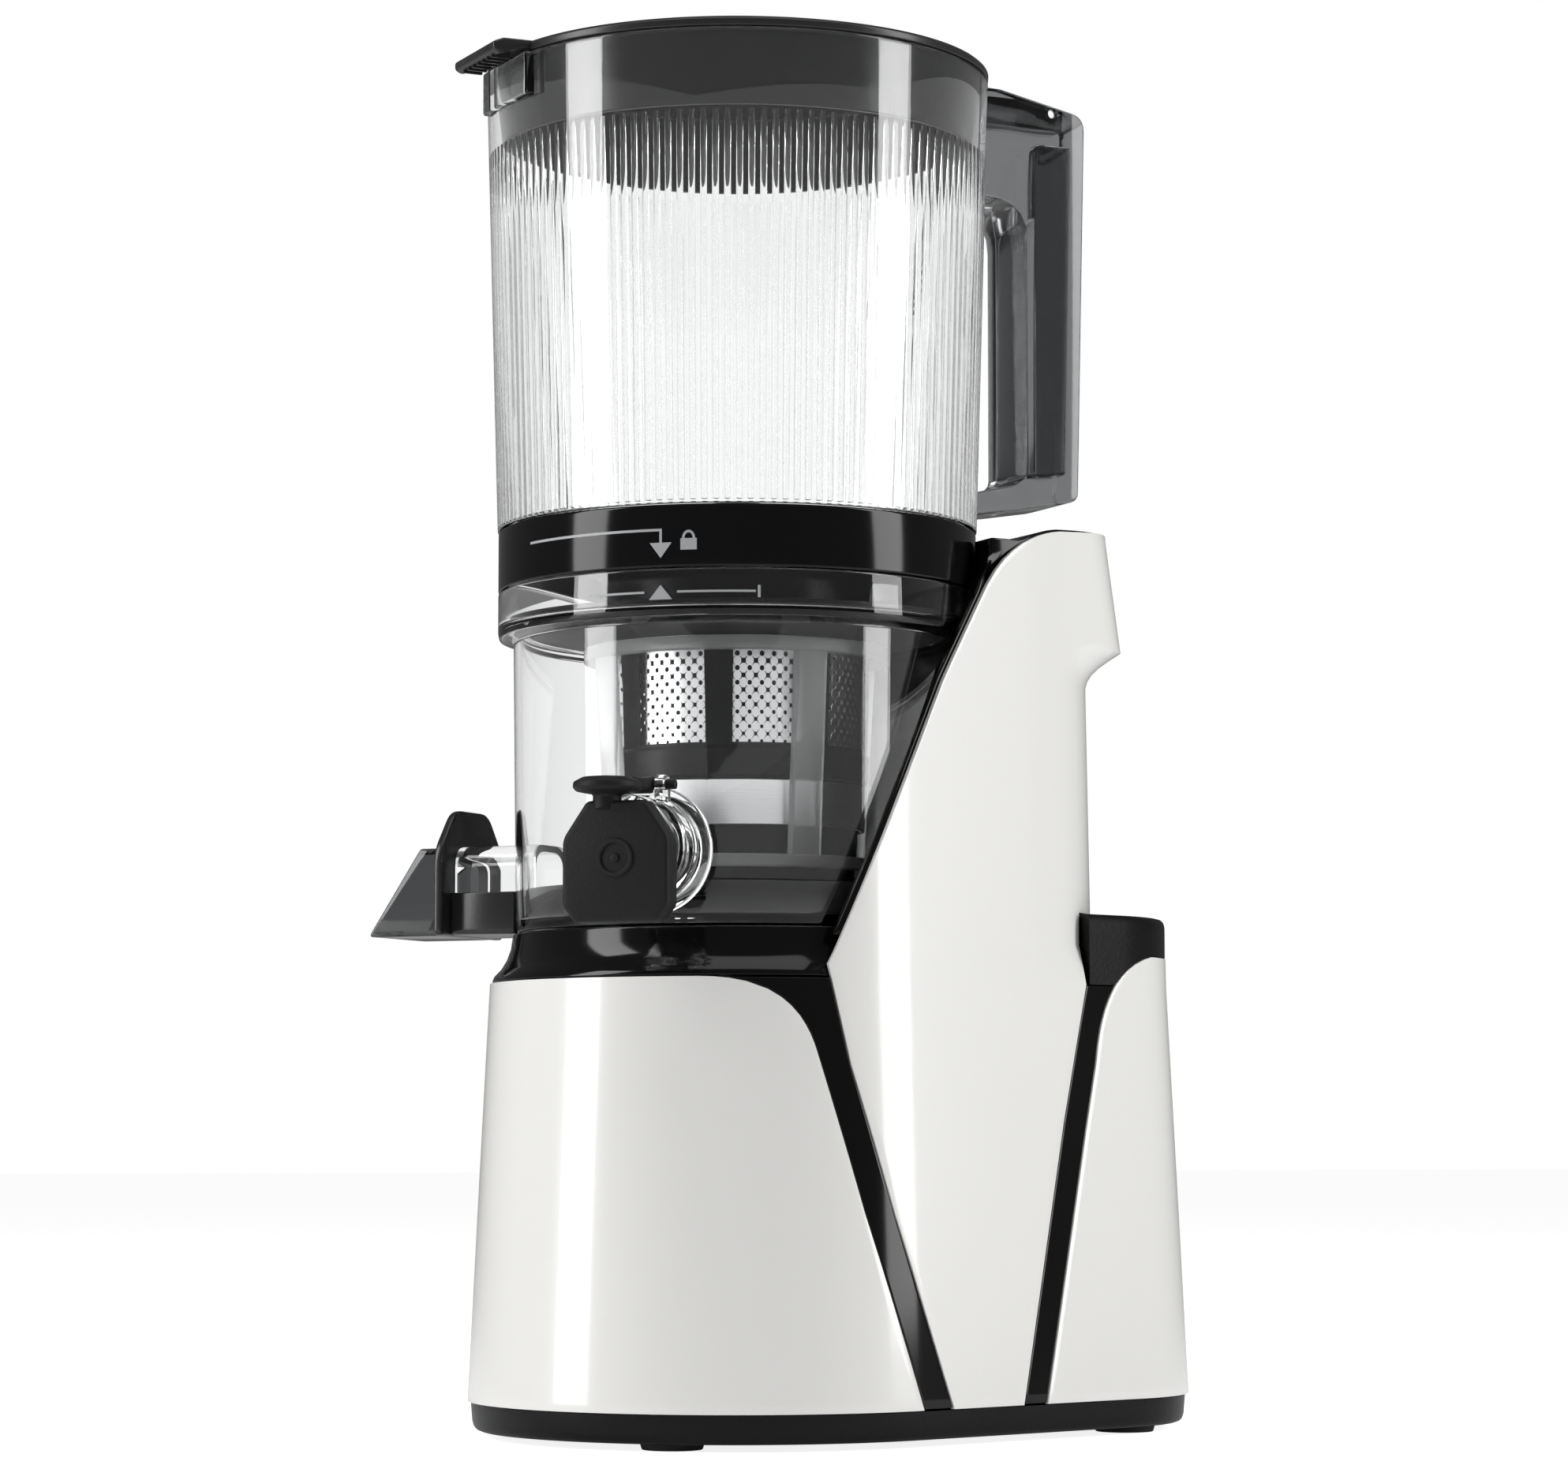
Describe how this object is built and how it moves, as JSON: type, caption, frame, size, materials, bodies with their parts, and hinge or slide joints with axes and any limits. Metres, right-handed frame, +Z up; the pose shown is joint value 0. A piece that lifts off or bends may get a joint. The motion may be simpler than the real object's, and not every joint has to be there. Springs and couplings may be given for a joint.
{
  "type": "slow juicer",
  "caption": "Vertical slow juicer: ribbed clear hopper with hinged lid and handle, smoky bowl with strainer and screw, juice and pulp spouts, white motor base with rear tower.",
  "frame": {"origin": "on the surface the juicer stands on, under the centre of its bounding box", "axes": "+Z up, -Y towards the machine's front, +Y towards the tower and the hopper handle"},
  "size_m": [0.1979, 0.2584, 0.4472],
  "materials": {
    "white_gloss": "high-gloss moulded",
    "black_gloss": "high-gloss moulded",
    "black_satin": "satin moulded",
    "dark_grey": "semi-gloss moulded",
    "smoky_clear": "polished transparent, smoke tint",
    "water_clear": "polished transparent",
    "soft_grey": "matt silicone",
    "rubber": "matt",
    "steel": "brushed",
    "gear_nylon": "natural nylon",
    "board_green": "solder mask"
  },
  "bodies": {
    "base": {"base_plate": "black_satin", "foot_1": "rubber", "foot_2": "rubber", "foot_3": "rubber", "foot_4": "rubber", "front_shell": "white_gloss", "rear_shell": "white_gloss", "inner_frame": "black_gloss", "rear_cap": "black_satin", "tower_cover": "white_gloss", "tower_liner": "black_gloss", "deck": "black_gloss", "gearbox_case": "black_satin", "gearbox_lid": "black_satin", "gearbox_screw_1": "steel", "gearbox_screw_2": "steel", "gearbox_screw_3": "steel", "gearbox_screw_4": "steel", "motor_can": "steel", "idler_pin": "steel", "lower_bearing": "steel", "upper_bearing": "steel", "shaft_seal": "rubber", "control_board": "board_green", "switch_body": "black_satin", "cord_inlet": "rubber"},
    "motor_rotor": {"motor_shaft": "steel", "motor_pinion": "steel", "motor_fan": "black_satin"},
    "idler": {"idler_gear": "gear_nylon"},
    "drive": {"drive_gear": "gear_nylon", "drive_shaft": "steel"},
    "dial": {"power_dial": "dark_grey"},
    "bowl": {"bowl": "smoky_clear", "bowl_tray": "dark_grey", "bowl_gasket": "soft_grey", "strainer_frame": "black_satin", "strainer_basket": "steel", "strainer_cone": "steel", "pulp_channel": "dark_grey", "pulp_collar": "dark_grey", "pulp_nozzle": "smoky_clear", "cap_hinge_pin": "steel"},
    "juice_cap": {"juice_cap": "soft_grey", "cap_seal": "soft_grey"},
    "auger": {"auger": "dark_grey"},
    "brush": {"brush_frame": "smoky_clear", "brush_blade_1": "soft_grey", "brush_blade_2": "soft_grey"},
    "hopper": {"hopper": "water_clear", "lock_ring": "black_gloss", "hopper_floor": "black_satin", "handle": "dark_grey", "lid_hinge_pin": "steel"},
    "lid": {"lid": "dark_grey"}
  },
  "joints": [
    {"name": "drive_spin", "type": "hinge", "parent": "base", "child": "drive", "pos_m": [0.00758, -0.03379, 0.119], "axis": [0, 0, 1], "continuous": true},
    {"name": "idler_spin", "type": "hinge", "parent": "base", "child": "idler", "pos_m": [0.00758, 0.01421, 0.113], "axis": [0, 0, 1], "continuous": true},
    {"name": "motor_spin", "type": "hinge", "parent": "base", "child": "motor_rotor", "pos_m": [0.00758, 0.05821, 0.06], "axis": [0, 0, 1], "continuous": true},
    {"name": "dial_turn", "type": "hinge", "parent": "base", "child": "dial", "pos_m": [-0.07511, -0.06389, 0.078], "axis": [-0.9397, -0.342, 0], "range_deg": [-45, 45]},
    {"name": "bowl_lift", "type": "slide", "parent": "base", "child": "bowl", "axis": [0, 0, 1], "range_m": [0, 0.16]},
    {"name": "auger_spin", "type": "hinge", "parent": "bowl", "child": "auger", "pos_m": [0.00758, -0.03379, 0.22], "axis": [0, 0, 1], "continuous": true},
    {"name": "brush_spin", "type": "hinge", "parent": "bowl", "child": "brush", "pos_m": [0.00758, -0.03379, 0.215], "axis": [0, 0, 1], "continuous": true},
    {"name": "juice_cap_hinge", "type": "hinge", "parent": "bowl", "child": "juice_cap", "pos_m": [0.06981, -0.09601, 0.2035], "axis": [-0.7071, -0.7071, 0], "range_deg": [0, 95]},
    {"name": "hopper_twist", "type": "hinge", "parent": "bowl", "child": "hopper", "pos_m": [0.00758, -0.03379, 0.282], "axis": [0, 0, 1], "range_deg": [0, 25]},
    {"name": "lid_hinge", "type": "hinge", "parent": "hopper", "child": "lid", "pos_m": [0.00758, 0.07721, 0.4405], "axis": [-1, 0, 0], "range_deg": [0, 100]}
  ],
  "couplings": [
    {"joint": "idler_spin", "follows": "drive_spin", "ratio": -3},
    {"joint": "motor_spin", "follows": "drive_spin", "ratio": 8},
    {"joint": "auger_spin", "follows": "drive_spin", "ratio": 1},
    {"joint": "brush_spin", "follows": "drive_spin", "ratio": -0.5}
  ]
}
